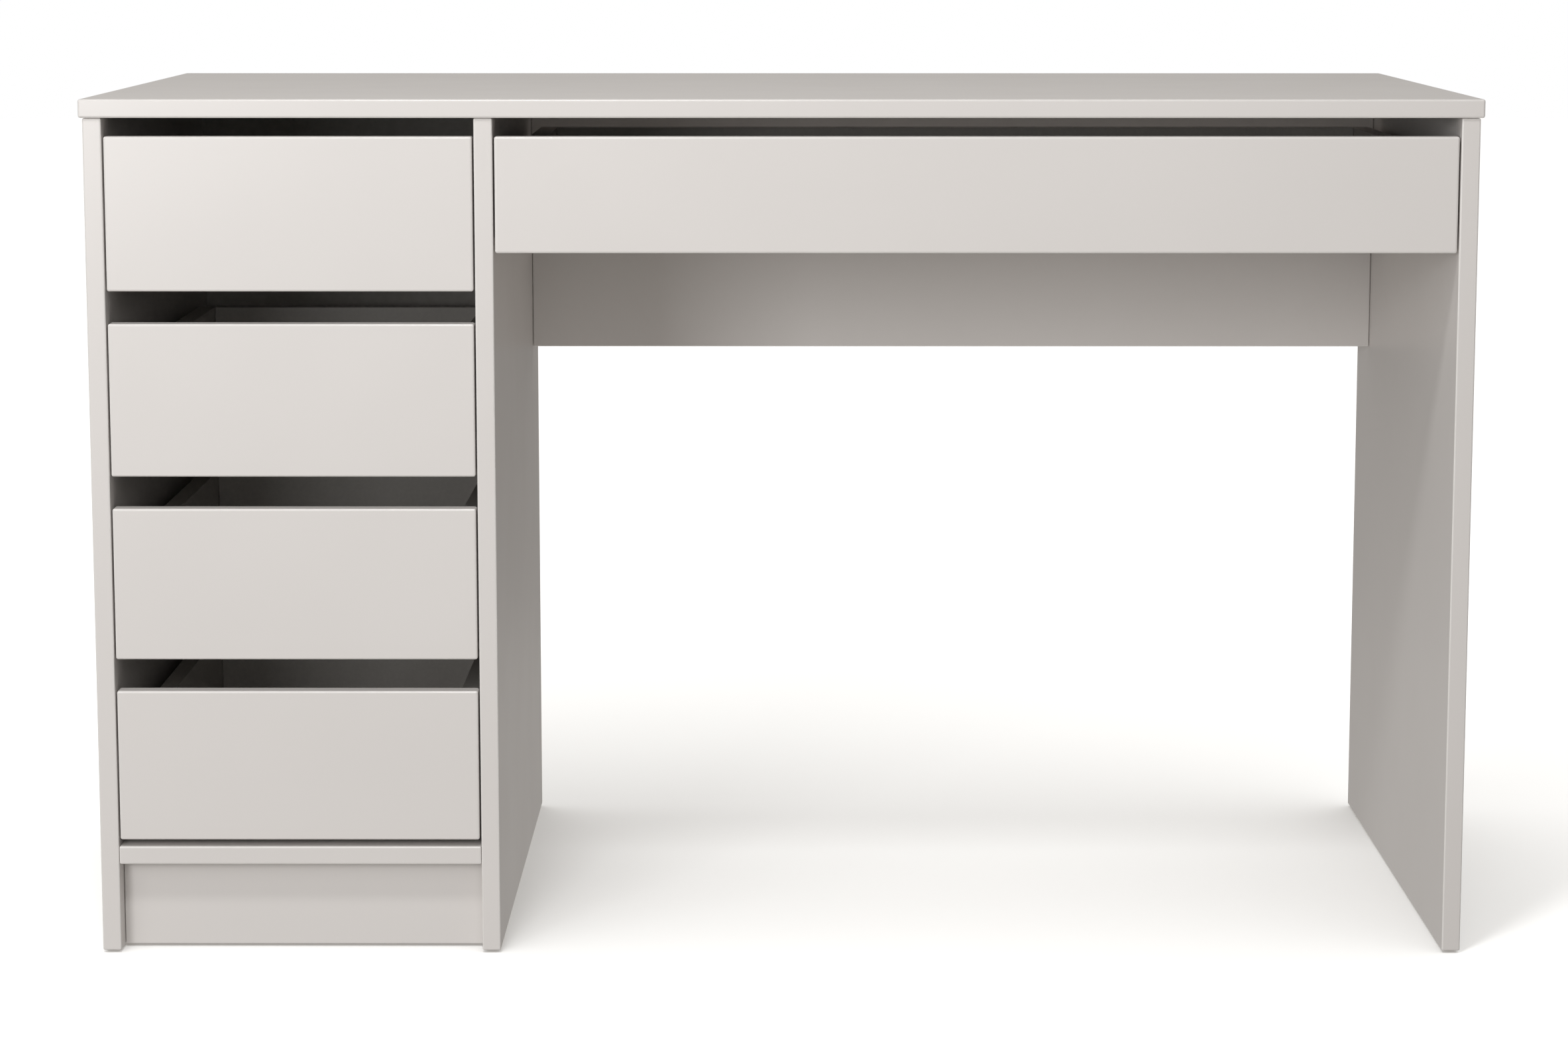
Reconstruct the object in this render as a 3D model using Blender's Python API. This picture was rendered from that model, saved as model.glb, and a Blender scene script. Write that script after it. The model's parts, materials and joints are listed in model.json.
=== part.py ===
"""Writing desk: a four-drawer pedestal, one wide drawer, a modesty panel and an open knee space.

Units are metres and +Z is up. The drawers open towards -Y, and +X is on the right of someone
sitting at the desk. The origin is on the floor, under the middle of the table top. Every board is a
piece of its own. The pieces of one drawer hang on an empty that sits on that drawer's slide axis.
"""

import math

import bmesh
import bpy
from mathutils import Vector

# Overall sizes of the desk.
DESK_WIDTH = 1.200
DESK_DEPTH = 0.550
DESK_HEIGHT = 0.750

# Thickness of each kind of board.
TOP_THICKNESS = 0.016
PANEL_THICKNESS = 0.016
FRONT_THICKNESS = 0.016
BOX_THICKNESS = 0.016
HARDBOARD_THICKNESS = 0.003

# How far the table top stands out over the carcass.
TOP_OVERHANG_SIDE = 0.003
TOP_OVERHANG_FRONT = 0.003
TOP_OVERHANG_BACK = 0.015

# Pedestal, plinth and modesty panel.
PEDESTAL_WIDTH = 0.350
PLINTH_HEIGHT = 0.080
PLINTH_RECESS = 0.020
MODESTY_HEIGHT = 0.250
MODESTY_INSET = 0.056
HARDBOARD_MARGIN = 0.002

# Drawer fronts and the open gaps that a hand reaches through, since there are no handles.
PEDESTAL_DRAWERS = 4
SIDE_REVEAL = 0.0015
LOWEST_GAP = 0.006
FINGER_GAP = 0.028
TOP_FINGER_GAP = 0.016
WIDE_FRONT_HEIGHT = 0.100

# Drawer boxes: how far they stay below the top, and above the bottom, of their front.
BOX_DROP = 0.028
WIDE_BOX_DROP = 0.0145
BOX_RISE = 0.012
GROOVE_DEPTH = 0.005
GROOVE_CLEARANCE = 0.0003
GROOVE_ABOVE_EDGE = 0.009
BEHIND_BOX_CLEARANCE = 0.020

# Roller runners: one channel on the carcass and one angle under each drawer side.
RUNNER_STEP = 0.050
RUNNER_SPACE = 0.013
RUNNER_STEEL = 0.0012
RUNNER_SETBACK = 0.002
CHANNEL_HEIGHT = 0.0204
CHANNEL_WIDTH = 0.0098
TRACK_CLEARANCE = 0.0008
TRACK_WIDTH = 0.0090

# Nail-on glides under the three upright panels.
GLIDE_RADIUS = 0.0065
GLIDE_HEIGHT = 0.002
GLIDE_CHAMFER = 0.0006
GLIDE_INSET = 0.045
GLIDE_SIDES = 24

# Edge treatment, and the play that assembled pieces keep between their faces.
TOP_ROUND = 0.002
FRONT_ROUND = 0.002
PANEL_ROUND = 0.0015
BOX_ROUND = 0.0008
HARDBOARD_ROUND = 0.0003
ROUND_SEGMENTS = 2
SEAT_GAP = 0.0003

# Finishes: linear colour, roughness and metallic value.
SATIN_LACQUER = ("satin_lacquer", (0.70, 0.67, 0.64), 0.42, 0.0)
FRONT_LACQUER = ("front_lacquer", (0.72, 0.69, 0.66), 0.38, 0.0)
BOX_MELAMINE = ("box_melamine", (0.66, 0.63, 0.60), 0.50, 0.0)
HARDBOARD = ("coated_hardboard", (0.62, 0.59, 0.56), 0.60, 0.0)
COATED_STEEL = ("coated_steel", (0.60, 0.60, 0.59), 0.45, 0.3)
GLIDE_PLASTIC = ("glide_plastic", (0.55, 0.54, 0.52), 0.50, 0.0)

# Places worked out from the sizes above.
HALF_WIDTH = DESK_WIDTH / 2
CARCASS_FRONT = -DESK_DEPTH / 2 + TOP_OVERHANG_FRONT
CARCASS_BACK = DESK_DEPTH / 2 - TOP_OVERHANG_BACK
CARCASS_LEFT = -HALF_WIDTH + TOP_OVERHANG_SIDE
CARCASS_RIGHT = HALF_WIDTH - TOP_OVERHANG_SIDE
PANEL_BOTTOM = GLIDE_HEIGHT + SEAT_GAP
TOP_UNDERSIDE = DESK_HEIGHT - TOP_THICKNESS
SHELF_TOP = PLINTH_HEIGHT + PANEL_THICKNESS
MIDDLE_PANEL_RIGHT = CARCASS_LEFT + PEDESTAL_WIDTH
PEDESTAL_BAY = (CARCASS_LEFT + PANEL_THICKNESS, MIDDLE_PANEL_RIGHT - PANEL_THICKNESS)
KNEE_BAY = (MIDDLE_PANEL_RIGHT, CARCASS_RIGHT - PANEL_THICKNESS)
MODESTY_FACE = CARCASS_BACK - MODESTY_INSET - PANEL_THICKNESS
FRONT_BACK = CARCASS_FRONT + FRONT_THICKNESS
GROOVE_HEIGHT = HARDBOARD_THICKNESS + 2 * GROOVE_CLEARANCE

# Runners are sold in fixed steps of length, so a drawer takes the longest that fits behind its front.
ROOM_BEHIND_FRONT = MODESTY_FACE - FRONT_BACK - BEHIND_BOX_CLEARANCE
RUNNER_LENGTH = math.floor(ROOM_BEHIND_FRONT / RUNNER_STEP) * RUNNER_STEP
BOX_BACK = FRONT_BACK + RUNNER_LENGTH


def clear_scene():
    for thing in list(bpy.data.objects):
        bpy.data.objects.remove(thing, do_unlink=True)


def anchor(name, place):
    """An empty that the pieces of one moving group hang on."""
    empty = bpy.data.objects.new(name, None)
    empty.location = place
    empty.empty_display_size = 0.05
    bpy.context.collection.objects.link(empty)
    return empty


def painted(piece, finish):
    """Gives a piece a Principled material of its own."""
    label, colour, roughness, metallic = finish
    material = bpy.data.materials.new(f"{piece.name}_{label}")
    material.use_nodes = True
    shader = material.node_tree.nodes["Principled BSDF"]
    shader.inputs["Base Color"].default_value = (*colour, 1.0)
    shader.inputs["Roughness"].default_value = roughness
    shader.inputs["Metallic"].default_value = metallic
    material.diffuse_color = (*colour, 1.0)
    piece.data.materials.append(material)


def place_piece(name, shape, centre, parent):
    """Turns a bmesh that is built round its own centre into a named object under its parent."""
    mesh = bpy.data.meshes.new(name)
    bmesh.ops.recalc_face_normals(shape, faces=shape.faces)
    shape.to_mesh(mesh)
    shape.free()
    piece = bpy.data.objects.new(name, mesh)
    piece.parent = parent
    piece.location = Vector(centre) - parent.location
    bpy.context.collection.objects.link(piece)
    return piece


def round_edges(piece, radius, segments=ROUND_SEGMENTS):
    bevel = piece.modifiers.new("rounded_edges", "BEVEL")
    bevel.width = radius
    bevel.segments = segments


def block(name, low, high, parent):
    """A plain rectangular solid between two opposite corners of the desk's frame."""
    low, high = Vector(low), Vector(high)
    shape = bmesh.new()
    bmesh.ops.create_cube(shape, size=1.0)
    bmesh.ops.scale(shape, vec=high - low, verts=shape.verts)
    return place_piece(name, shape, (low + high) / 2, parent)


def board(name, low, high, radius, finish, parent):
    """A board with every edge rounded over."""
    piece = block(name, low, high, parent)
    round_edges(piece, radius)
    painted(piece, finish)
    return piece


def extrusion(name, outline, start, end, parent):
    """An outline of (x, z) points in the desk's frame, drawn out along Y from start to end."""
    width = [x for x, _ in outline]
    height = [z for _, z in outline]
    centre = Vector(((min(width) + max(width)) / 2, (start + end) / 2, (min(height) + max(height)) / 2))
    shape = bmesh.new()
    ring = [shape.verts.new(Vector((x, start, z)) - centre) for x, z in outline]
    face = shape.faces.new(ring)
    drawn = bmesh.ops.extrude_face_region(shape, geom=[face])
    moved = [item for item in drawn["geom"] if isinstance(item, bmesh.types.BMVert)]
    bmesh.ops.translate(shape, vec=(0, end - start, 0), verts=moved)
    return place_piece(name, shape, centre, parent)


def table_top(carcass):
    low = (-HALF_WIDTH, -DESK_DEPTH / 2, TOP_UNDERSIDE)
    high = (HALF_WIDTH, DESK_DEPTH / 2, DESK_HEIGHT)
    board("table_top", low, high, TOP_ROUND, SATIN_LACQUER, carcass)


def upright_panel(name, left, carcass):
    low = (left, CARCASS_FRONT, PANEL_BOTTOM)
    high = (left + PANEL_THICKNESS, CARCASS_BACK, TOP_UNDERSIDE - SEAT_GAP)
    board(name, low, high, PANEL_ROUND, SATIN_LACQUER, carcass)


def panel_glides(name, left, carcass):
    """The front and back glides under one upright panel, with a chamfer where they meet the floor."""
    for end, along in (("front", CARCASS_FRONT + GLIDE_INSET), ("back", CARCASS_BACK - GLIDE_INSET)):
        shape = bmesh.new()
        bmesh.ops.create_cone(
            shape,
            cap_ends=True,
            segments=GLIDE_SIDES,
            radius1=GLIDE_RADIUS,
            radius2=GLIDE_RADIUS,
            depth=GLIDE_HEIGHT,
        )
        lower_rim = [edge for edge in shape.edges if all(vert.co.z < 0 for vert in edge.verts)]
        bmesh.ops.bevel(shape, geom=lower_rim, offset=GLIDE_CHAMFER, segments=1, affect="EDGES")
        centre = (left + PANEL_THICKNESS / 2, along, GLIDE_HEIGHT / 2)
        glide = place_piece(f"{name}_{end}_glide", shape, centre, carcass)
        painted(glide, GLIDE_PLASTIC)


def base_shelf(carcass):
    left, right = PEDESTAL_BAY
    low = (left + SEAT_GAP, CARCASS_FRONT, PLINTH_HEIGHT)
    high = (right - SEAT_GAP, CARCASS_BACK, SHELF_TOP)
    board("base_shelf", low, high, PANEL_ROUND, SATIN_LACQUER, carcass)


def plinth_board(carcass):
    left, right = PEDESTAL_BAY
    face = CARCASS_FRONT + PLINTH_RECESS
    low = (left + SEAT_GAP, face, PANEL_BOTTOM)
    high = (right - SEAT_GAP, face + PANEL_THICKNESS, PLINTH_HEIGHT - SEAT_GAP)
    board("plinth_board", low, high, PANEL_ROUND, SATIN_LACQUER, carcass)


def modesty_panel(carcass):
    left, right = KNEE_BAY
    top = TOP_UNDERSIDE - SEAT_GAP
    low = (left + SEAT_GAP, MODESTY_FACE, top - MODESTY_HEIGHT)
    high = (right - SEAT_GAP, MODESTY_FACE + PANEL_THICKNESS, top)
    board("modesty_panel", low, high, PANEL_ROUND, SATIN_LACQUER, carcass)


def pedestal_back_panel(carcass):
    """The thin hardboard that is nailed over the back edges of the pedestal."""
    face = CARCASS_BACK + SEAT_GAP
    low = (CARCASS_LEFT + HARDBOARD_MARGIN, face, PLINTH_HEIGHT + HARDBOARD_MARGIN)
    high = (
        MIDDLE_PANEL_RIGHT - HARDBOARD_MARGIN,
        face + HARDBOARD_THICKNESS,
        TOP_UNDERSIDE - HARDBOARD_MARGIN,
    )
    board("pedestal_back_panel", low, high, HARDBOARD_ROUND, HARDBOARD, carcass)


def groove_cutter(name, low, high, parent):
    """The space that a drawer bottom takes in its front and sides, cut out of all three."""
    cutter = block(f"{name}_groove_cutter", low, high, parent)
    cutter.hide_render = True
    cutter.display_type = "WIRE"
    return cutter


def cut_groove(piece, cutter):
    cut = piece.modifiers.new("bottom_groove", "BOOLEAN")
    cut.operation = "DIFFERENCE"
    cut.solver = "EXACT"
    cut.object = cutter


def carcass_runner(name, wall, inward, bottom, carcass):
    """The C-shaped channel on a carcass panel. Its open side faces the drawer."""
    back = wall + inward * SEAT_GAP
    web = back + inward * RUNNER_STEEL
    lip = back + inward * CHANNEL_WIDTH
    top = bottom + CHANNEL_HEIGHT
    outline = [
        (back, bottom),
        (lip, bottom),
        (lip, bottom + RUNNER_STEEL),
        (web, bottom + RUNNER_STEEL),
        (web, top - RUNNER_STEEL),
        (lip, top - RUNNER_STEEL),
        (lip, top),
        (back, top),
    ]
    start = FRONT_BACK + RUNNER_SETBACK
    runner = extrusion(name, outline, start, start + RUNNER_LENGTH, carcass)
    painted(runner, COATED_STEEL)


def drawer_runner(name, wall, inward, bottom, parent):
    """The angle that a drawer side stands on. Its upper flange runs inside the carcass channel."""
    side_face = wall + inward * RUNNER_SPACE
    web = side_face - inward * SEAT_GAP
    web_outer = web - inward * RUNNER_STEEL
    track_tip = web - inward * TRACK_WIDTH
    track_top = bottom + CHANNEL_HEIGHT - RUNNER_STEEL - TRACK_CLEARANCE
    ledge_tip = side_face + inward * BOX_THICKNESS
    outline = [
        (web_outer, bottom),
        (ledge_tip, bottom),
        (ledge_tip, bottom + RUNNER_STEEL),
        (web, bottom + RUNNER_STEEL),
        (web, track_top),
        (track_tip, track_top),
        (track_tip, track_top - RUNNER_STEEL),
        (web_outer, track_top - RUNNER_STEEL),
    ]
    start = FRONT_BACK + RUNNER_SETBACK
    runner = extrusion(name, outline, start, BOX_BACK, parent)
    painted(runner, COATED_STEEL)


def drawer(name, bay, bottom, height, drop, carcass):
    """One whole drawer in a bay: front, two sides, back, bottom and its two pairs of runners."""
    wall_left, wall_right = bay
    top = bottom + height
    middle = ((wall_left + wall_right) / 2, CARCASS_FRONT, bottom + height / 2)
    slide = anchor(f"{name}_slide", middle)

    box_bottom = bottom + BOX_RISE
    box_top = top - drop
    outer_left = wall_left + RUNNER_SPACE
    outer_right = wall_right - RUNNER_SPACE
    inner_left = outer_left + BOX_THICKNESS
    inner_right = outer_right - BOX_THICKNESS
    groove_bottom = box_bottom + GROOVE_ABOVE_EDGE
    groove_left = inner_left - GROOVE_DEPTH
    groove_right = inner_right + GROOVE_DEPTH

    cutter = groove_cutter(
        name,
        (groove_left, FRONT_BACK - GROOVE_DEPTH, groove_bottom),
        (groove_right, BOX_BACK + GROOVE_DEPTH, groove_bottom + GROOVE_HEIGHT),
        slide,
    )
    front_low = (wall_left + SIDE_REVEAL, CARCASS_FRONT, bottom)
    front_high = (wall_right - SIDE_REVEAL, FRONT_BACK, top)
    front = board(f"{name}_front", front_low, front_high, FRONT_ROUND, FRONT_LACQUER, slide)
    cut_groove(front, cutter)
    for side, left, right in (("left", outer_left, inner_left), ("right", inner_right, outer_right)):
        side_low = (left, FRONT_BACK + SEAT_GAP, box_bottom)
        side_high = (right, BOX_BACK, box_top)
        box_side = board(f"{name}_{side}_side", side_low, side_high, BOX_ROUND, BOX_MELAMINE, slide)
        cut_groove(box_side, cutter)

    bottom_low = groove_bottom + GROOVE_CLEARANCE
    bottom_high = bottom_low + HARDBOARD_THICKNESS
    board(
        f"{name}_back",
        (inner_left + SEAT_GAP, BOX_BACK - BOX_THICKNESS, bottom_high + SEAT_GAP),
        (inner_right - SEAT_GAP, BOX_BACK, box_top),
        BOX_ROUND,
        BOX_MELAMINE,
        slide,
    )
    board(
        f"{name}_bottom",
        (groove_left + GROOVE_CLEARANCE, FRONT_BACK - GROOVE_DEPTH + GROOVE_CLEARANCE, bottom_low),
        (groove_right - GROOVE_CLEARANCE, BOX_BACK, bottom_high),
        HARDBOARD_ROUND,
        HARDBOARD,
        slide,
    )

    runner_bottom = box_bottom - SEAT_GAP - RUNNER_STEEL
    for side, wall, inward in (("left", wall_left, 1), ("right", wall_right, -1)):
        carcass_runner(f"{name}_{side}_carcass_runner", wall, inward, runner_bottom, carcass)
        drawer_runner(f"{name}_{side}_drawer_runner", wall, inward, runner_bottom, slide)


def pedestal_drawers(carcass):
    """Equal drawers stacked from the base shelf up. Number 1 is the uppermost."""
    room = TOP_UNDERSIDE - SHELF_TOP - LOWEST_GAP - TOP_FINGER_GAP
    height = (room - (PEDESTAL_DRAWERS - 1) * FINGER_GAP) / PEDESTAL_DRAWERS
    for place in range(PEDESTAL_DRAWERS):
        bottom = SHELF_TOP + LOWEST_GAP + place * (height + FINGER_GAP)
        number = PEDESTAL_DRAWERS - place
        drawer(f"drawer_{number}", PEDESTAL_BAY, bottom, height, BOX_DROP, carcass)


def wide_drawer(carcass):
    bottom = TOP_UNDERSIDE - TOP_FINGER_GAP - WIDE_FRONT_HEIGHT
    drawer("wide_drawer", KNEE_BAY, bottom, WIDE_FRONT_HEIGHT, WIDE_BOX_DROP, carcass)


def build_desk():
    clear_scene()
    carcass = anchor("carcass", (0, 0, 0))
    table_top(carcass)
    uprights = {
        "left_side_panel": CARCASS_LEFT,
        "middle_panel": MIDDLE_PANEL_RIGHT - PANEL_THICKNESS,
        "right_side_panel": CARCASS_RIGHT - PANEL_THICKNESS,
    }
    for name, left in uprights.items():
        upright_panel(name, left, carcass)
        panel_glides(name, left, carcass)
    base_shelf(carcass)
    plinth_board(carcass)
    modesty_panel(carcass)
    pedestal_back_panel(carcass)
    pedestal_drawers(carcass)
    wide_drawer(carcass)


build_desk()
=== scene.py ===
# %% [markdown]
# # A writing desk with handle-less drawers
# The desk is panel furniture: flat boards, rounded over and lacquered, joined by hidden fittings.
# Its working model is already made, and it fixes every size and every drawer's travel. This lesson
# gives each board its final shape and finish, then lights it like a catalogue picture.
# All lengths are metres, +Z is up, and the drawers open towards -Y.

import json
import math

import bmesh
import bpy
from mathutils import Matrix, Vector

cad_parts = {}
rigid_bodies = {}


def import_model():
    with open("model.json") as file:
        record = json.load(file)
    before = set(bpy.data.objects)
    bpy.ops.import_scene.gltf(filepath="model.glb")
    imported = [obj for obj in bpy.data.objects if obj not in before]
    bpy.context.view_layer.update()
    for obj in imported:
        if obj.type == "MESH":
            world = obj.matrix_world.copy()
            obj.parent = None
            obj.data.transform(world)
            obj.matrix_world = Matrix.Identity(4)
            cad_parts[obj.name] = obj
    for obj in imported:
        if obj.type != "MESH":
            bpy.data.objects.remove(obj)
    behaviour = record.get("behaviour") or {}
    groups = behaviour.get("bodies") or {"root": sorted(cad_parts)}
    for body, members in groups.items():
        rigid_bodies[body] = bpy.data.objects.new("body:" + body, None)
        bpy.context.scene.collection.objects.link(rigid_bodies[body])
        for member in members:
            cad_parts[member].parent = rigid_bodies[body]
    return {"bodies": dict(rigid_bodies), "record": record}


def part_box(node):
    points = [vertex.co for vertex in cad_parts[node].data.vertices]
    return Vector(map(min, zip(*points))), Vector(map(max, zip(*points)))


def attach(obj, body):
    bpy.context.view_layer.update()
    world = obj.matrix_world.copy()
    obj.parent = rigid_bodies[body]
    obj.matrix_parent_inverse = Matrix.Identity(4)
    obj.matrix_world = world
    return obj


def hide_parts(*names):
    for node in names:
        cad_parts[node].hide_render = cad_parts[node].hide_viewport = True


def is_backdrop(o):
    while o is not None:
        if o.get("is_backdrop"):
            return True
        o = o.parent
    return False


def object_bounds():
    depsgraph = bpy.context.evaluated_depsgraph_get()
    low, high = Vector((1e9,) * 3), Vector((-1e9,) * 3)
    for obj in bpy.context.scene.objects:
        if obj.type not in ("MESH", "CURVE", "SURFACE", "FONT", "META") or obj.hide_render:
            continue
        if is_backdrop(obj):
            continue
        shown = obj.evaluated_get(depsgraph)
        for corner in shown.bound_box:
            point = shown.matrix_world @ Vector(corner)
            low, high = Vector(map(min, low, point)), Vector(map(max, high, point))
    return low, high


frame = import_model()
model_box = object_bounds()
DRAWERS = [body for body in frame["bodies"] if body != "carcass"]
print("drawers:", DRAWERS)
print("model box:", [[round(length, 4) for length in corner] for corner in model_box])

# %% [markdown]
# ## Three small tools
# Sizes of finishes are easier to judge in millimetres, colours in the hex codes of a paint card, and
# a material is quicker to read when each of its nodes is made in one call. A hex code is an sRGB
# colour, so it is turned to linear light before the renderer sees it.

# %% Units, colours and nodes
MM = 0.001


def linear(code):
    """The linear colour of an sRGB hex code such as #E2DED9."""
    parts = [int(code[start : start + 2], 16) / 255 for start in (1, 3, 5)]
    light = [part / 12.92 if part <= 0.04045 else ((part + 0.055) / 1.055) ** 2.4 for part in parts]
    return (*light, 1.0)


def add_node(tree, kind, values=None, links=None, **settings):
    """Adds a node, sets its properties and socket values, and links its inputs by name or number."""
    node = tree.nodes.new(kind)
    for name, value in settings.items():
        setattr(node, name, value)
    for name, value in (values or {}).items():
        node.inputs[name].default_value = value
    for name, source in (links or {}).items():
        tree.links.new(source, node.inputs[name])
    return node


def per_metre(millimetres):
    """A noise scale whose features are about this many millimetres across."""
    return 1000 / millimetres


print("linear of #808080 is", round(linear("#808080")[0], 3))

# %% [markdown]
# ## The camera
# The desk is seen from straight in front, by someone about 3 m away whose eyes are at 0.9 m, just
# above the top. From there the top is a thin strip and the inner faces of the panels show in the
# knee space. A long lens keeps the edges calm. Most of the downward aim is tilt, and a little is
# lens shift, which keeps the panels nearly upright.

# %% Place the camera
CAMERA_PLACE = Vector((0.007, -3.313, 0.895))
CAMERA_TILT_DEGREES = 7.594
CAMERA_TURN_DEGREES = 0.088
SENSOR_WIDTH_MM = 36.0
LENS_MM = 81.7
LENS_SHIFT = -0.075
camera_data = bpy.data.cameras.new("camera")
camera_data.sensor_width = SENSOR_WIDTH_MM
camera_data.lens = LENS_MM
camera_data.shift_y = LENS_SHIFT
camera = bpy.data.objects.new("camera", camera_data)
camera.location = CAMERA_PLACE
camera.rotation_euler = (math.radians(90 - CAMERA_TILT_DEGREES), 0, math.radians(CAMERA_TURN_DEGREES))
bpy.context.collection.objects.link(camera)
bpy.context.scene.camera = camera
print("camera", CAMERA_PLACE.to_tuple(3), "lens", camera_data.lens)

# %% [markdown]
# ## The studio
# A catalogue desk stands on a white floor, with soft boxes in front of it. The nearest one, at eye
# height on the left, makes the fronts fade towards the right and the bottom, and shines through the
# finger gaps onto the drawer backs. A small one overhead draws a bright line along the upper edges.
# The other two fill. The room itself is dimmer, so the knee space stays dark. Its brightness goes by
# direction: walls, a lighter wall behind, and a floor that starts 11 degrees below the horizon.
# The floor that the camera sees takes no part in this. It is lit on its own and hidden from bounced
# light, so it can be white without flooding the desk, and the room's low part stands in for it.

# %% Build the floor, the room and the lights
FLOOR_RADIUS = 14.0
FLOOR_EDGES = 96
FLOOR_ROUGHNESS = 0.85
FLOOR_SPECULAR = 0.2
FLOOR_LIGHT_POWER = 2.5
FLOOR_LIGHT_SPREAD = math.radians(120)
AIM = Vector((0.0, -0.1, 0.45))
SOFT_BOXES = {
    "near_left": (Vector((-1.5, -3.2, 1.0)), 0.9, 33.5),
    "high_left": (Vector((-2.3, -2.6, 1.9)), 1.6, 12.5),
    "front": (Vector((0.3, -3.6, 1.5)), 1.8, 17.1),
    "overhead": (Vector((-0.4, -1.6, 2.6)), 0.35, 20.0),
}
WALLS = 0.31
WALL_BEHIND = 0.27
FLOOR_GLOW = 0.46
FLOOR_STARTS = math.sin(math.radians(-11))


def studio_floor():
    shape = bmesh.new()
    bmesh.ops.create_circle(shape, cap_ends=True, segments=FLOOR_EDGES, radius=FLOOR_RADIUS)
    mesh = bpy.data.meshes.new("studio_floor")
    shape.to_mesh(mesh)
    shape.free()
    ground = bpy.data.objects.new("studio_floor", mesh)
    bpy.context.collection.objects.link(ground)
    ground.visible_diffuse = False
    ground.visible_glossy = False
    ground.visible_shadow = False
    paint = bpy.data.materials.new("matt_floor_paint")
    paint.use_nodes = True
    shader = paint.node_tree.nodes["Principled BSDF"]
    shader.inputs["Base Color"].default_value = linear("#F8F8F7")
    shader.inputs["Roughness"].default_value = FLOOR_ROUGHNESS
    shader.inputs["Specular IOR Level"].default_value = FLOOR_SPECULAR
    mesh.materials.append(paint)
    ground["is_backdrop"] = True
    return ground


def soft_box(name, place, size, power):
    lamp = bpy.data.lights.new(name, "AREA")
    lamp.shape = "SQUARE"
    lamp.size = size
    lamp.energy = power
    stand = bpy.data.objects.new(name, lamp)
    stand.location = place
    stand.rotation_euler = (AIM - place).to_track_quat("-Z", "Y").to_euler()
    stand.visible_camera = False
    bpy.context.collection.objects.link(stand)


def floor_only_light(ground):
    """A very soft light from above that reaches nothing but the floor."""
    lamp = bpy.data.lights.new("floor_light", "SUN")
    lamp.energy = FLOOR_LIGHT_POWER
    lamp.angle = FLOOR_LIGHT_SPREAD
    stand = bpy.data.objects.new("floor_light", lamp)
    bpy.context.collection.objects.link(stand)
    lit = bpy.data.collections.new("lit_by_floor_light")
    lit.objects.link(ground)
    stand.light_linking.receiver_collection = lit


def studio_room():
    """A world whose brightness goes by direction. The camera itself sees it plain white."""
    world = bpy.data.worlds.new("studio_room")
    world.use_nodes = True
    bpy.context.scene.world = world
    tree = world.node_tree
    tree.nodes.clear()
    direction = add_node(tree, "ShaderNodeTexCoord").outputs["Generated"]
    along = add_node(tree, "ShaderNodeSeparateXYZ", links={0: direction}).outputs
    above = add_node(tree, "ShaderNodeMath", {1: 0.0}, {0: along["Z"]}, operation="GREATER_THAN")
    under = add_node(tree, "ShaderNodeMath", {1: FLOOR_STARTS}, {0: along["Z"]}, operation="LESS_THAN")
    behind = add_node(tree, "ShaderNodeMath", {1: 0.0}, {0: along["Y"]}, operation="MAXIMUM").outputs[0]
    wall = add_node(tree, "ShaderNodeMath", {1: WALL_BEHIND}, {0: behind}, operation="MULTIPLY").outputs[0]
    room = add_node(
        tree,
        "ShaderNodeMath",
        {1: WALLS},
        {0: above.outputs[0], 2: wall},
        operation="MULTIPLY_ADD",
    )
    strength = add_node(
        tree, "ShaderNodeMix", {3: FLOOR_GLOW}, {0: under.outputs[0], 2: room.outputs[0]}, data_type="FLOAT"
    )
    dome = add_node(tree, "ShaderNodeBackground", links={"Strength": strength.outputs[0]})
    dome.inputs["Color"].default_value = linear("#FFFBF6")
    seen = add_node(tree, "ShaderNodeBackground", {"Color": (1, 1, 1, 1), "Strength": 1.0})
    ray = add_node(tree, "ShaderNodeLightPath")
    both = add_node(
        tree,
        "ShaderNodeMixShader",
        links={0: ray.outputs["Is Camera Ray"], 1: dome.outputs[0], 2: seen.outputs[0]},
    )
    add_node(tree, "ShaderNodeOutputWorld", links={"Surface": both.outputs[0]})


floor_only_light(studio_floor())
for name, (place, size, power) in SOFT_BOXES.items():
    soft_box(name, place, size, power)
studio_room()
bpy.context.scene.view_settings.view_transform = "Standard"

# %% [markdown]
# ## Satin lacquer on fibreboard
# The visible boards are MDF, rounded over with a router and sprayed with a pigmented satin lacquer.
# The spray leaves a very fine ripple, called orange peel, the gloss drifts a little over a board,
# and hands polish the edges first. The rounded edges are also painted lighter: partly rubbed wear,
# partly a painted highlight. Lacquer is a plastic film, so its IOR is about 1.5 and it is no
# metal. Real orange peel is 1 to 2 mm across. It is drawn at 5 mm here, or it would not show.

# %% Lacquer
TONE_DRIFT_MM = 240
SHEEN_DRIFT_MM = 85
WEAR_AND_HIGHLIGHT_PATCH_MM = 18
ORANGE_PEEL_MM = 5
ORANGE_PEEL_DEPTH_MM = 0.05
ORANGE_PEEL_STRENGTH = 0.12
HAND_POLISH = 0.12
LACQUER_ROUGHNESS = 0.31


def object_coordinates(tree):
    return add_node(tree, "ShaderNodeTexCoord").outputs["Object"]


def new_material(name, roughness, ior=1.5, metallic=0.0):
    """A material with its Principled shader, whose uniform values are set on its own sockets."""
    material = bpy.data.materials.new(name)
    material.use_nodes = True
    tree = material.node_tree
    shader = tree.nodes["Principled BSDF"]
    shader.inputs["Roughness"].default_value = roughness
    shader.inputs["IOR"].default_value = ior
    shader.inputs["Metallic"].default_value = metallic
    return material, tree, shader


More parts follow.
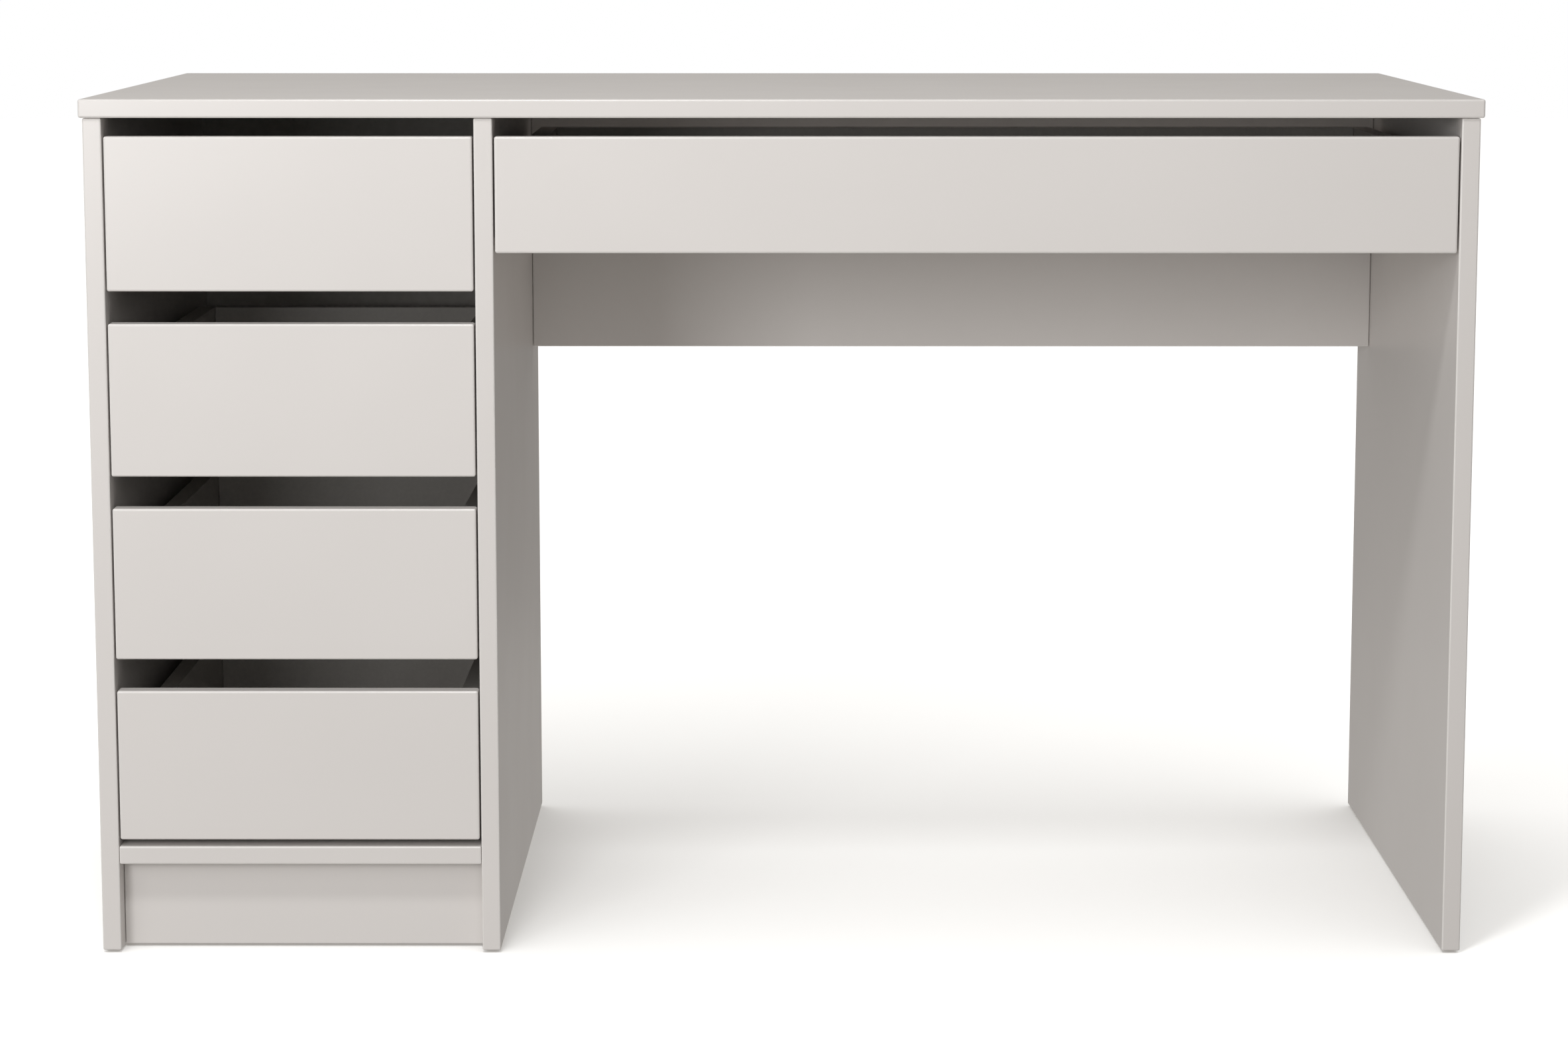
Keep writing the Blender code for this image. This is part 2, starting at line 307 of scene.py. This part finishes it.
def drifting(tree, where, size_mm, low, high):
    """A value that wanders between low and high over patches of this size."""
    patches = add_node(
        tree, "ShaderNodeTexNoise", {"Scale": per_metre(size_mm), "Detail": 2.0}, {"Vector": where}
    )
    wander = add_node(
        tree,
        "ShaderNodeMapRange",
        {"From Min": 0.2, "From Max": 0.8, "To Min": low, "To Max": high},
        {"Value": patches.outputs["Fac"]},
        interpolation_type="SMOOTHSTEP",
    )
    return wander.outputs["Result"]


def two_tones(tree, where, size_mm, tone, shade):
    """A colour that drifts between two close hex colours over patches of this size."""
    mix = add_node(
        tree,
        "ShaderNodeMix",
        {6: linear(tone), 7: linear(shade)},
        {0: drifting(tree, where, size_mm, 0.0, 1.0)},
        data_type="RGBA",
    )
    return mix.outputs[2]


def ripple(tree, where, size_mm, depth_mm, strength):
    """A bump of fine waves, this wide and this deep."""
    waves = add_node(
        tree, "ShaderNodeTexNoise", {"Scale": per_metre(size_mm), "Detail": 2.0}, {"Vector": where}
    )
    bump = add_node(
        tree,
        "ShaderNodeBump",
        {"Strength": strength, "Distance": depth_mm * MM},
        {"Height": waves.outputs["Fac"]},
    )
    return bump.outputs["Normal"]


def satin_lacquer(name, tone, shade, worn_and_highlight_colour, roughness):
    """Sprayed lacquer. On rounded edges, marked by a mesh value, it is smoother and painted lighter: partly
    wear, partly a painted highlight.
    """
    material, tree, shader = new_material(name, roughness)
    where = object_coordinates(tree)
    edge = add_node(tree, "ShaderNodeAttribute", attribute_name="edge_wear_and_highlight").outputs["Fac"]
    patchy = drifting(tree, where, WEAR_AND_HIGHLIGHT_PATCH_MM, 0.5, 0.95)
    worn_and_highlighted = add_node(tree, "ShaderNodeMath", links={0: edge, 1: patchy}, operation="MULTIPLY").outputs[0]
    # The colour is lighter on the rounded edges: partly rubbed wear, partly a painted highlight.
    colour = add_node(
        tree,
        "ShaderNodeMix",
        {7: linear(worn_and_highlight_colour)},
        {0: worn_and_highlighted, 6: two_tones(tree, where, TONE_DRIFT_MM, tone, shade)},
        data_type="RGBA",
    )
    sheen = drifting(tree, where, SHEEN_DRIFT_MM, roughness - 0.02, roughness + 0.03)
    polished = add_node(tree, "ShaderNodeMath", {1: HAND_POLISH}, {0: worn_and_highlighted}, operation="MULTIPLY")
    rough = add_node(
        tree, "ShaderNodeMath", links={0: sheen, 1: polished.outputs[0]}, operation="SUBTRACT"
    )
    peel = ripple(tree, where, ORANGE_PEEL_MM, ORANGE_PEEL_DEPTH_MM, ORANGE_PEEL_STRENGTH)
    tree.links.new(colour.outputs[2], shader.inputs["Base Color"])
    tree.links.new(rough.outputs[0], shader.inputs["Roughness"])
    tree.links.new(peel, shader.inputs["Normal"])
    return material


# The lighter edge tone: partly rubbed wear, partly a painted highlight along the rounded edges.
WORN_AND_HIGHLIGHT_TONE = "#F1EFEC"
CARCASS_LACQUER = satin_lacquer(
    "satin_lacquered_fibreboard", "#DCD8D5", "#DAD6D3", WORN_AND_HIGHLIGHT_TONE, LACQUER_ROUGHNESS
)
FRONT_LACQUER = satin_lacquer(
    "satin_lacquered_drawer_front", "#DDD9D6", "#DBD7D4", WORN_AND_HIGHLIGHT_TONE, LACQUER_ROUGHNESS
)
print("lacquers:", CARCASS_LACQUER.name, FRONT_LACQUER.name)

# %% [markdown]
# ## The finishes that show when a drawer is open
# - The drawer boxes are chipboard pressed between melamine papers. The press plate leaves a pearl
#   grain about 0.5 mm across, drawn at 1.5 mm. Their top edges are covered with a thin ABS band,
#   which is smoother and slightly lighter.
# - The bottoms and the pedestal's back are hardboard with a painted face. Its fibres show through
#   as a faint mottle.
# - The runners are rolled steel with a sprayed and baked epoxy coat.

# %% Board, band and coated steel
def pressed_board(name, tone, shade, mottle_mm, grain_mm, grain_depth_mm, roughness):
    """A printed or painted board face: a mottle in its colour and a fine pressed grain."""
    material, tree, shader = new_material(name, roughness)
    where = object_coordinates(tree)
    tree.links.new(two_tones(tree, where, mottle_mm, tone, shade), shader.inputs["Base Color"])
    sheen = drifting(tree, where, mottle_mm * 3, roughness - 0.04, roughness + 0.04)
    tree.links.new(sheen, shader.inputs["Roughness"])
    tree.links.new(ripple(tree, where, grain_mm, grain_depth_mm, 0.25), shader.inputs["Normal"])
    return material


MELAMINE = pressed_board("melamine_faced_chipboard", "#D6D2CD", "#D1CDC8", 3, 1.5, 0.06, 0.52)
EDGE_BAND = pressed_board("abs_edge_band", "#DEDAD5", "#DCD8D3", 40, 6, 0.02, 0.40)
HARDBOARD = pressed_board("painted_hardboard", "#D3CFCA", "#CAC6C0", 9, 2.5, 0.08, 0.60)
COATED_STEEL = pressed_board("epoxy_coated_rolled_steel", "#DAD9D6", "#D6D5D2", 30, 1.6, 0.03, 0.36)
print("boards and steel:", len(bpy.data.materials), "materials so far")

# %% [markdown]
# ## Fittings
# Screws, axles and cam fittings are steel or zinc with a bright zinc coat: a metal, so its colour
# is in the reflection, and tumbling in the plating drum leaves it cloudy. The rollers are moulded
# nylon, which lets a little light in. The glides are moulded polyethylene, duller and softer.

# %% Zinc, nylon and polyethylene
def zinc_plated_steel():
    material, tree, shader = new_material("zinc_plated_steel", 0.32, metallic=1.0)
    where = object_coordinates(tree)
    tree.links.new(two_tones(tree, where, 4, "#C8CBCF", "#AEB2B6"), shader.inputs["Base Color"])
    tree.links.new(drifting(tree, where, 3, 0.24, 0.42), shader.inputs["Roughness"])
    tree.links.new(ripple(tree, where, 1.2, 0.03, 0.3), shader.inputs["Normal"])
    return material


def moulded_plastic(name, tone, shade, roughness, depth_of_light):
    """A moulded plastic: even colour, faint flow marks, and some light scattered inside."""
    material, tree, shader = new_material(name, roughness, ior=1.52)
    where = object_coordinates(tree)
    shader.inputs["Subsurface Weight"].default_value = depth_of_light
    shader.inputs["Subsurface Scale"].default_value = 1.5 * MM
    tree.links.new(two_tones(tree, where, 6, tone, shade), shader.inputs["Base Color"])
    tree.links.new(ripple(tree, where, 3, 0.03, 0.2), shader.inputs["Normal"])
    return material


ZINC = zinc_plated_steel()
NYLON = moulded_plastic("moulded_nylon", "#EFEDE6", "#E8E5DC", 0.35, 0.2)
POLYETHYLENE = moulded_plastic("moulded_polyethylene", "#CFCCC6", "#C8C5BF", 0.5, 0.1)
CAP_PLASTIC = moulded_plastic("moulded_abs_cap", "#D2CEC9", "#CECAC4", 0.45, 0.0)
print("all finishes:", sorted(material.name for material in bpy.data.materials))

# %% [markdown]
# ## From a bmesh to a finished piece
# A board needs flat faces that look flat and rounded edges that look round. Smooth shading alone
# smears the two together, so edges over 30 degrees are kept sharp and each normal is weighted
# by the size of its faces, which lets the big faces win. Each piece then rides on the body that its
# part of the working model belongs to, and stands in for that part.

# %% Finish a piece and tie it to the model
SHARP_FROM = math.radians(30)
BODY_OF = {node: body for body, nodes in frame["record"]["behaviour"]["bodies"].items() for node in nodes}


def finished(name, shape, *materials):
    """Turns a bmesh into a named piece with calm shading and its materials."""
    mesh = bpy.data.meshes.new(name)
    bmesh.ops.recalc_face_normals(shape, faces=shape.faces)
    shape.to_mesh(mesh)
    shape.free()
    piece = bpy.data.objects.new(name, mesh)
    bpy.context.collection.objects.link(piece)
    for material in materials:
        mesh.materials.append(material)
    mesh.shade_smooth()
    mesh.set_sharp_from_angle(angle=SHARP_FROM)
    calm = piece.modifiers.new("calm_shading", "WEIGHTED_NORMAL")
    calm.keep_sharp = True
    return piece


def stands_for(piece, node):
    """The piece replaces this part of the working model and moves with its body."""
    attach(piece, BODY_OF[node])
    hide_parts(node)
    return piece


def rides_along(piece, body):
    """The piece is a detail that the working model leaves out."""
    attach(piece, body)
    return piece


# %% [markdown]
# ## A rounded board
# A router runs round every edge of a board, so a board is a box whose edges are arcs. It could be a
# box with a Bevel modifier. Here the bevel is made in the mesh, because the mesh then also carries
# an edge value: 0 on the flat faces, 1 in the middle of a rounded edge, where a hand would rub and
# where the lacquer is painted lighter as a highlight. The value comes from the direction in which a
# point sticks out of the board's inner, unrounded core.

# %% Make a rounded board
EDGE_STEPS = 6
MIDDLE_OF_EDGE = 1 - math.sqrt(0.5)


def sharp_box(low, high):
    shape = bmesh.new()
    bmesh.ops.create_cube(shape, size=1.0)
    bmesh.ops.scale(shape, vec=high - low, verts=shape.verts)
    bmesh.ops.translate(shape, vec=(low + high) / 2, verts=shape.verts)
    return shape


def rounded_box(low, high, radius):
    shape = sharp_box(low, high)
    bmesh.ops.bevel(
        shape, geom=shape.edges[:], offset=radius, segments=EDGE_STEPS, profile=0.5, affect="EDGES"
    )
    return shape


def mark_edge_wear_and_highlight(mesh, low, high, radius):
    """Stores the edge value on each point of a rounded board: for wear, and for a painted highlight."""
    wear_and_highlight_layer = mesh.attributes.new("edge_wear_and_highlight", "FLOAT", "POINT")
    core_low = low + Vector((radius, radius, radius))
    core_high = high - Vector((radius, radius, radius))
    for vertex, value in zip(mesh.vertices, wear_and_highlight_layer.data):
        nearest = [min(max(p, a), b) for p, a, b in zip(vertex.co, core_low, core_high)]
        outwards = (vertex.co - Vector(nearest)).normalized()
        flatness = max(abs(part) for part in outwards)
        value.value = min(1.0, (1 - flatness) / MIDDLE_OF_EDGE) if flatness > 0 else 0.0


def board(prefix, node, radius, *materials):
    """A rounded board exactly as large as its part of the working model."""
    low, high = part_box(node)
    piece = finished(f"{prefix}_{node}", rounded_box(low, high, radius), *materials)
    mark_edge_wear_and_highlight(piece.data, low, high, radius)
    return stands_for(piece, node)


print("arc steps on each edge:", EDGE_STEPS)

# %% [markdown]
# ## The carcass
# The top has the largest rounding, 2 mm, and a small overhang that throws a thin shadow line on the
# panels. The panels, the base shelf, the plinth and the modesty panel are rounded 1.5 mm.

# %% The top and the lacquered boards
TOP_ROUND = 2.0 * MM
PANEL_ROUND = 1.5 * MM
board("lacquered", "table_top", TOP_ROUND, CARCASS_LACQUER)
UPRIGHT_PANELS = ("left_side_panel", "middle_panel", "right_side_panel")
for node in (*UPRIGHT_PANELS, "base_shelf", "plinth_board", "modesty_panel"):
    board("lacquered", node, PANEL_ROUND, CARCASS_LACQUER)

# %% [markdown]
# ## Drawer fronts and boxes
# A hardboard bottom slides into a groove in the front and in both sides. One cutter, the size of
# the bottom with a little play, cuts all three with a Boolean, as one saw setting does in the
# workshop. The result is read back as a plain mesh, so that its edges can be shaded afterwards.
# The top edges of the box get the ABS band, picked by the direction that a face looks in.

# %% Cut one solid with another
def cut_away(shape, cutter_shape):
    """What a Boolean leaves of the first bmesh when the second is taken from it."""
    solids = []
    for solid in (shape, cutter_shape):
        mesh = bpy.data.meshes.new("workpiece")
        solid.to_mesh(mesh)
        solid.free()
        solids.append(bpy.data.objects.new("workpiece", mesh))
        bpy.context.collection.objects.link(solids[-1])
    blank, cutter = solids
    cut = blank.modifiers.new("cut", "BOOLEAN")
    cut.operation = "DIFFERENCE"
    cut.solver = "EXACT"
    cut.object = cutter
    left_over = bmesh.new()
    left_over.from_object(blank, bpy.context.evaluated_depsgraph_get())
    for workpiece in solids:
        mesh = workpiece.data
        bpy.data.objects.remove(workpiece, do_unlink=True)
        bpy.data.meshes.remove(mesh)
    return left_over


print("a solid can be cut now")

# %% Fronts, sides, backs and bottoms
FRONT_ROUND = 2.0 * MM
BOX_ROUND = 0.8 * MM
HARDBOARD_ROUND = 0.3 * MM
GROOVE_PLAY = 0.3 * MM
SAW_OVERRUN = 5 * MM


def grooved_board(prefix, node, radius, bottom, *materials):
    """A rounded board with the groove for this drawer bottom, sawn right through at the back."""
    low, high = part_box(node)
    groove_low, groove_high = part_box(bottom)
    play = Vector((GROOVE_PLAY, GROOVE_PLAY, GROOVE_PLAY))
    past_the_back = Vector((0, SAW_OVERRUN, 0))
    groove = sharp_box(groove_low - play, groove_high + play + past_the_back)
    sawn = cut_away(rounded_box(low, high, radius), groove)
    piece = finished(f"{prefix}_{node}", sawn, *materials)
    mark_edge_wear_and_highlight(piece.data, low, high, radius)
    return stands_for(piece, node)


def band_top_edge(piece):
    """Gives the top edge of a box board its second material, the ABS band."""
    for face in piece.data.polygons:
        face.material_index = int(face.normal.z > 0.5)


for drawer in DRAWERS:
    bottom = f"{drawer}_bottom"
    grooved_board("lacquered", f"{drawer}_front", FRONT_ROUND, bottom, FRONT_LACQUER)
    for node in (f"{drawer}_left_side", f"{drawer}_right_side"):
        band_top_edge(grooved_board("melamine", node, BOX_ROUND, bottom, MELAMINE, EDGE_BAND))
    band_top_edge(board("melamine", f"{drawer}_back", BOX_ROUND, MELAMINE, EDGE_BAND))
    board("painted", bottom, HARDBOARD_ROUND, HARDBOARD)
    print(drawer, "front and box made")
board("painted", "pedestal_back_panel", HARDBOARD_ROUND, HARDBOARD)

# %% [markdown]
# ## Roller runners
# A runner is strip steel folded on a rolling mill. Its outline could be typed in point by point, but
# a mill does not work that way: it bends a flat strip about small radii. So the strip's middle line
# is given, its corners are turned into arcs, and half the thickness is laid off on each side. The
# channel on the carcass holds the front roller, and the angle under the drawer the rear one.

# %% Fold a strip
STEEL = 1.2 * MM
BEND_RADIUS = 1.3 * MM
BEND_STEPS = 5
LIP_HEIGHT = 1.4 * MM
ANGLE_WEB_OFFSET = 9.0 * MM


def with_bends(path):
    """The path with each corner replaced by an arc."""
    bent = [path[0]]
    for before, corner, after in zip(path, path[1:], path[2:]):
        back = (before - corner).normalized()
        ahead = (after - corner).normalized()
        half = back.angle(ahead) / 2
        reach = BEND_RADIUS / math.tan(half)
        centre = corner + (back + ahead).normalized() * BEND_RADIUS / math.sin(half)
        first = corner + back * reach - centre
        last = corner + ahead * reach - centre
        for step in range(BEND_STEPS + 1):
            share = step / BEND_STEPS
            bent.append(centre + (first * (1 - share) + last * share).normalized() * BEND_RADIUS)
    bent.append(path[-1])
    return bent


def strip_outline(path):
    """Both faces of the strip, half its thickness to each side of the middle line."""
    near = []
    far = []
    for index, point in enumerate(path):
        ahead = path[min(index + 1, len(path) - 1)] - point
        behind = point - path[max(index - 1, 0)]
        along = (ahead.normalized() + behind.normalized()).normalized()
        aside = Vector((-along.y, along.x)) * STEEL / 2
        near.append(point + aside)
        far.append(point - aside)
    return near + far[::-1]


def folded_strip(name, path, start, end):
    """A folded strip drawn out along Y. The path's points are (x, z)."""
    shape = bmesh.new()
    outline = strip_outline(with_bends([Vector(point) for point in path]))
    ring = [shape.verts.new((x, start, z)) for x, z in outline]
    drawn = bmesh.ops.extrude_face_region(shape, geom=[shape.faces.new(ring)])
    moved = [item for item in drawn["geom"] if isinstance(item, bmesh.types.BMVert)]
    bmesh.ops.translate(shape, vec=(0, end - start, 0), verts=moved)
    return finished(name, shape, COATED_STEEL)


def channel(node, inward):
    """The carcass member: web on the panel, a track below with a small lip, and a flange above."""
    low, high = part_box(node)
    half = STEEL / 2
    web, tip = (low.x + half, high.x - half) if inward > 0 else (high.x - half, low.x + half)
    path = [
        (tip, low.z + half + LIP_HEIGHT),
        (tip, low.z + half),
        (web, low.z + half),
        (web, high.z - half),
        (tip + inward * half, high.z - half),
    ]
    return stands_for(folded_strip(f"rolled_{node}", path, low.y, high.y), node)


def angle(node, inward):
    """The drawer member: a ledge under the box side, a web beside it, and a flange for the roller."""
    low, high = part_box(node)
    half = STEEL / 2
    ledge, flange = (high.x, low.x) if inward > 0 else (low.x, high.x)
    web = flange + inward * (ANGLE_WEB_OFFSET - half)
    path = [(ledge, low.z + half), (web, low.z + half), (web, high.z - half), (flange, high.z - half)]
    return stands_for(folded_strip(f"rolled_{node}", path, low.y, high.y), node)


print("strip", STEEL / MM, "mm thick, bent at", BEND_RADIUS / MM, "mm")

# %% The ten pairs of runners
RUNNERS = [(drawer, side) for drawer in DRAWERS for side in ("left", "right")]
INWARD = {"left": Vector((1, 0, 0)), "right": Vector((-1, 0, 0))}
for drawer, side in RUNNERS:
    channel(f"{drawer}_{side}_carcass_runner", INWARD[side].x)
    angle(f"{drawer}_{side}_drawer_runner", INWARD[side].x)
print("runners:", 2 * len(RUNNERS))

# %% [markdown]
# ## Turned parts
# Rollers, screws, cams, caps, pins and glides are all round, so each is a profile spun about an axis.
# A profile lists (radius, height) in millimetres. It starts and ends on the axis or, for a part
# with a bore, where it began. One pattern is spun per part and then copied to all of its places.

# %% Spin a profile and copy it
ROUND_STEPS = 32


def turned(profile):
    """A solid of revolution about Z, as a bmesh."""
    shape = bmesh.new()
    points = [shape.verts.new((radius * MM, 0, height * MM)) for radius, height in profile]
    edges = [shape.edges.new(pair) for pair in zip(points, points[1:])]
    bmesh.ops.spin(
        shape, geom=points + edges, cent=(0, 0, 0), axis=(0, 0, 1), angle=math.tau, steps=ROUND_STEPS
    )
    bmesh.ops.remove_doubles(shape, verts=shape.verts, dist=0.01 * MM)
    bmesh.ops.recalc_face_normals(shape, faces=shape.faces)
    return shape


def with_cross(head, top, width, depth, reach):
    """Cuts a screwdriver's cross into a turned head. Its top is at this height, in millimetres."""
    for across, along in ((width, reach), (reach, width)):
        corner = Vector((across / 2, along / 2, 0)) * MM
        floor_of_cut = Vector((0, 0, (top - depth) * MM))
        above = Vector((0, 0, (top + 1) * MM))
        head = cut_away(head, sharp_box(floor_of_cut - corner, above + corner))
    return head


def copies(name, pattern, places, aim, material):
    """One piece that holds the pattern at each place, with its height along aim."""
    shape = bmesh.new()
    stencil = bpy.data.meshes.new("stencil")
    pattern.to_mesh(stencil)
    turn = aim.to_track_quat("Z", "Y").to_matrix().to_4x4()
    for place in places:
        done = len(shape.verts)
        shape.from_mesh(stencil)
        bmesh.ops.transform(shape, matrix=Matrix.Translation(place) @ turn, verts=shape.verts[done:])
    bpy.data.meshes.remove(stencil)
    return finished(name, shape, material)


print("a full turn has", ROUND_STEPS, "steps")

# %% [markdown]
# ## Rollers
# Each runner member carries one nylon roller: the channel at its front end, the angle at its rear
# end. Both run at the same height, between the other member's flange and track. A roller turns on
# a steel pin with a collar, which keeps it off the web. All offsets count from the channel's wall
# side, and they leave the rear roller room to pass the screws and the front roller.

# %% The rollers and their pins
ROLLER = [(1.7, 0), (3.0, 0), (3.4, 0.5), (6.0, 0.5), (6.4, 0), (7.1, 0), (7.7, 0.5), (7.7, 4.7)]
ROLLER += [(7.1, 5.2), (6.4, 5.2), (6.0, 4.7), (3.4, 4.7), (3.0, 5.2), (1.7, 5.2), (1.7, 0)]
ROLLER_HEIGHT = 9.2 * MM
FRONT_ROLLER_BACK = 9.0 * MM
REAR_ROLLER_FORWARD = 11.0 * MM
FRONT_WEB = 1.2
FRONT_FACE = 2.7
REAR_WEB = 11.2
REAR_FACE = 3.1
ROLLER_WIDTH = 5.2
PIN_BEYOND = 0.2


def roller_pin(collar):
    """A pin whose collar is this high, and whose riveted end stands just proud of the roller."""
    end = collar + ROLLER_WIDTH + PIN_BEYOND
    return [(0, 0), (2.8, 0), (2.8, collar), (1.6, collar), (1.6, end - 0.1), (1.4, end), (0, end)]


roller = turned(ROLLER)
front_pin = turned(roller_pin(FRONT_FACE - FRONT_WEB))
rear_pin = turned(roller_pin(REAR_WEB - REAR_FACE - ROLLER_WIDTH))
for drawer, side in RUNNERS:
    inward = INWARD[side]
    low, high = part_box(f"{drawer}_{side}_carcass_runner")
    wall = low.x if side == "left" else high.x
    front = Vector((wall, low.y + FRONT_ROLLER_BACK, low.z + ROLLER_HEIGHT))
    rear = Vector((wall, high.y - REAR_ROLLER_FORWARD, low.z + ROLLER_HEIGHT))
    for end, spot, face, web, pin_shape, aim, body in (
        ("front", front, FRONT_FACE, FRONT_WEB, front_pin, inward, "carcass"),
        ("rear", rear, REAR_FACE, REAR_WEB, rear_pin, -inward, drawer),
    ):
        hub = [spot + inward * face * MM]
        wheel = copies(f"nylon_{drawer}_{side}_{end}_roller", roller, hub, inward, NYLON)
        rides_along(wheel, body)
        foot = [spot + inward * web * MM]
        pin = copies(f"steel_{drawer}_{side}_{end}_pin", pin_shape, foot, aim, ZINC)
        rides_along(pin, body)
print("rollers:", 2 * len(RUNNERS), "of", 2 * max(radius for radius, _ in ROLLER), "mm")

# %% [markdown]
# ## Runner screws
# Three pan-head screws hold each channel to its panel and each angle to its drawer side, at the
# 32 mm hole spacing of panel furniture. The cross is cut by a Boolean into one pattern head, so
# that the copies cost nothing more.

# %% Screws in the runners
PAN_HEAD = [(0, 0), (3.1, 0), (3.1, 0.25), (2.8, 0.75), (2.1, 1.2), (1.2, 1.35), (0, 1.38)]
SCREWS_BACK = (32 * MM, 192 * MM, 352 * MM)
SCREW_HEIGHT = 9.8 * MM
ON_CHANNEL = 1.15 * MM
ON_ANGLE = 11.25 * MM
pan_head = with_cross(turned(PAN_HEAD), top=1.38, width=0.7, depth=0.75, reach=3.0)
for drawer, side in RUNNERS:
    inward = INWARD[side]
    low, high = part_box(f"{drawer}_{side}_carcass_runner")
    wall = low.x if side == "left" else high.x
    holes = [Vector((wall, low.y + back, low.z + SCREW_HEIGHT)) for back in SCREWS_BACK]
    for member, body, off_wall, aim in (
        ("channel", "carcass", ON_CHANNEL, inward),
        ("angle", drawer, ON_ANGLE, -inward),
    ):
        heads = [hole + inward * off_wall for hole in holes]
        screws = copies(f"steel_{drawer}_{side}_{member}_screws", pan_head, heads, aim, ZINC)
        rides_along(screws, body)
print("runner screws:", 2 * len(SCREWS_BACK) * len(RUNNERS))

# %% [markdown]
# ## Cams and screws of the drawer boxes
# A box is joined with knock-down fittings. At the front a cast zinc cam, 15 mm across, sits flush in
# the inner face of each side and pulls in a bolt from the front. At the back two screws go through
# each side into the back board. Both kinds have a cross for the screwdriver.

# %% Fittings of the drawer boxes
CAM = [(0, 0), (7.5, 0), (7.5, 0.2), (7.3, 0.35), (5.6, 0.35)]
CAM += [(5.4, 0.15), (4.6, 0.15), (4.4, 0.35), (0, 0.35)]
SUNK_HEAD = [(0, 0), (3.5, 0), (3.5, 0.1), (3.3, 0.25), (0, 0.25)]
CAM_BACK = 34 * MM
FITTING_HEIGHTS = (0.34, 0.78)  # shares of the side's height
cam = with_cross(turned(CAM), top=0.35, width=1.4, depth=0.3, reach=6.2)
sunk_head = with_cross(turned(SUNK_HEAD), top=0.25, width=0.9, depth=0.2, reach=4.0)
for drawer, side in RUNNERS:
    inward = INWARD[side]
    low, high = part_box(f"{drawer}_{side}_side")
    back_low, back_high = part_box(f"{drawer}_back")
    inner, outer = (high.x, low.x) if side == "left" else (low.x, high.x)
    heights = [low.z + share * (high.z - low.z) for share in FITTING_HEIGHTS]
    cams = [Vector((inner, low.y + CAM_BACK, height)) for height in heights]
    heads = [Vector((outer, (back_low.y + back_high.y) / 2, height)) for height in heights]
    rides_along(copies(f"zinc_{drawer}_{side}_cams", cam, cams, inward, ZINC), drawer)
    screws = copies(f"steel_{drawer}_{side}_back_screws", sunk_head, heads, -inward, ZINC)
    rides_along(screws, drawer)
print("cams:", len(FITTING_HEIGHTS) * len(RUNNERS))

# %% [markdown]
# ## Caps, pins and glides
# The cams of the carcass would show from behind, so push-in plastic caps cover them. The hardboard
# back is pinned round its rim about every 110 mm. Each upright panel stands on two nailed glides,
# dished in the middle round the head of their nail.

# %% Caps on the carcass cams
CAP = [(0, 0), (8.5, 0), (8.4, 0.5), (7.6, 0.95), (4.0, 1.15), (0, 1.2)]
CAP_FROM_END = 34 * MM
CAP_FROM_EDGE = 45 * MM
CAP_UNDER_TOP = 34 * MM
cap = turned(CAP)
low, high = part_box("modesty_panel")
modesty_caps = [
    Vector((x, high.y, z))
    for x in (low.x + CAP_FROM_END, high.x - CAP_FROM_END)
    for z in (low.z + CAP_FROM_EDGE, high.z - CAP_FROM_EDGE)
]
modesty_piece = copies("moulded_modesty_panel_caps", cap, modesty_caps, Vector((0, 1, 0)), CAP_PLASTIC)
rides_along(modesty_piece, "carcass")
for node, aim in (("middle_panel", Vector((1, 0, 0))), ("right_side_panel", Vector((-1, 0, 0)))):
    panel_low, panel_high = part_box(node)
    face = panel_high.x if aim.x > 0 else panel_low.x
    behind = Vector((face, (high.y + panel_high.y) / 2, panel_high.z - CAP_UNDER_TOP))
    panel_piece = copies(f"moulded_{node}_cap", cap, [behind], aim, CAP_PLASTIC)
    rides_along(panel_piece, "carcass")
print("caps:", len(modesty_caps) + 2)

# %% Pins round the hardboard back
PIN_HEAD = [(0, 0), (1.3, 0), (1.2, 0.25), (0.7, 0.4), (0, 0.42)]
PIN_FROM_EDGE = 8 * MM
PIN_SPACING = 110 * MM


def spaced(first, last):
    """Even places from first to last, about a pin spacing apart."""
    gaps = round((last - first) / PIN_SPACING)
    return [first + (last - first) * step / gaps for step in range(gaps + 1)]


low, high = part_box("pedestal_back_panel")
left = low.x + PIN_FROM_EDGE
right = high.x - PIN_FROM_EDGE
bottom_row = low.z + PIN_FROM_EDGE
top_row = high.z - PIN_FROM_EDGE
pins = [Vector((x, high.y, z)) for z in (bottom_row, top_row) for x in spaced(left, right)]
pins += [Vector((x, high.y, z)) for x in (left, right) for z in spaced(bottom_row, top_row)[1:-1]]
pin_piece = copies("steel_back_panel_pins", turned(PIN_HEAD), pins, Vector((0, 1, 0)), ZINC)
rides_along(pin_piece, "carcass")
print("pins:", len(pins))

# %% Glides under the panels
GLIDE = [(0, 2.0), (6.5, 2.0), (6.5, 1.1), (6.1, 0.5), (5.2, 0.12)]
GLIDE += [(4.2, 0), (1.7, 0), (1.2, 0.5), (0, 0.6)]
glide = turned(GLIDE)
for panel in UPRIGHT_PANELS:
    for end in ("front", "back"):
        node = f"{panel}_{end}_glide"
        low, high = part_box(node)
        spot = Vector(((low.x + high.x) / 2, (low.y + high.y) / 2, low.z))
        stands_for(copies(f"moulded_{node}", glide, [spot], Vector((0, 0, 1)), POLYETHYLENE), node)
print("glides:", 2 * len(UPRIGHT_PANELS))

# %% [markdown]
# ## The size of the finished desk
# The finished desk has to fill the same box as the working model, so both boxes are printed.

# %% Print both boxes
visual_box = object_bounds()
boxes = {"model": model_box, "visual": visual_box}
boxes = {name: [[float(length) for length in corner] for corner in box] for name, box in boxes.items()}
print("boxes in metres:", boxes)
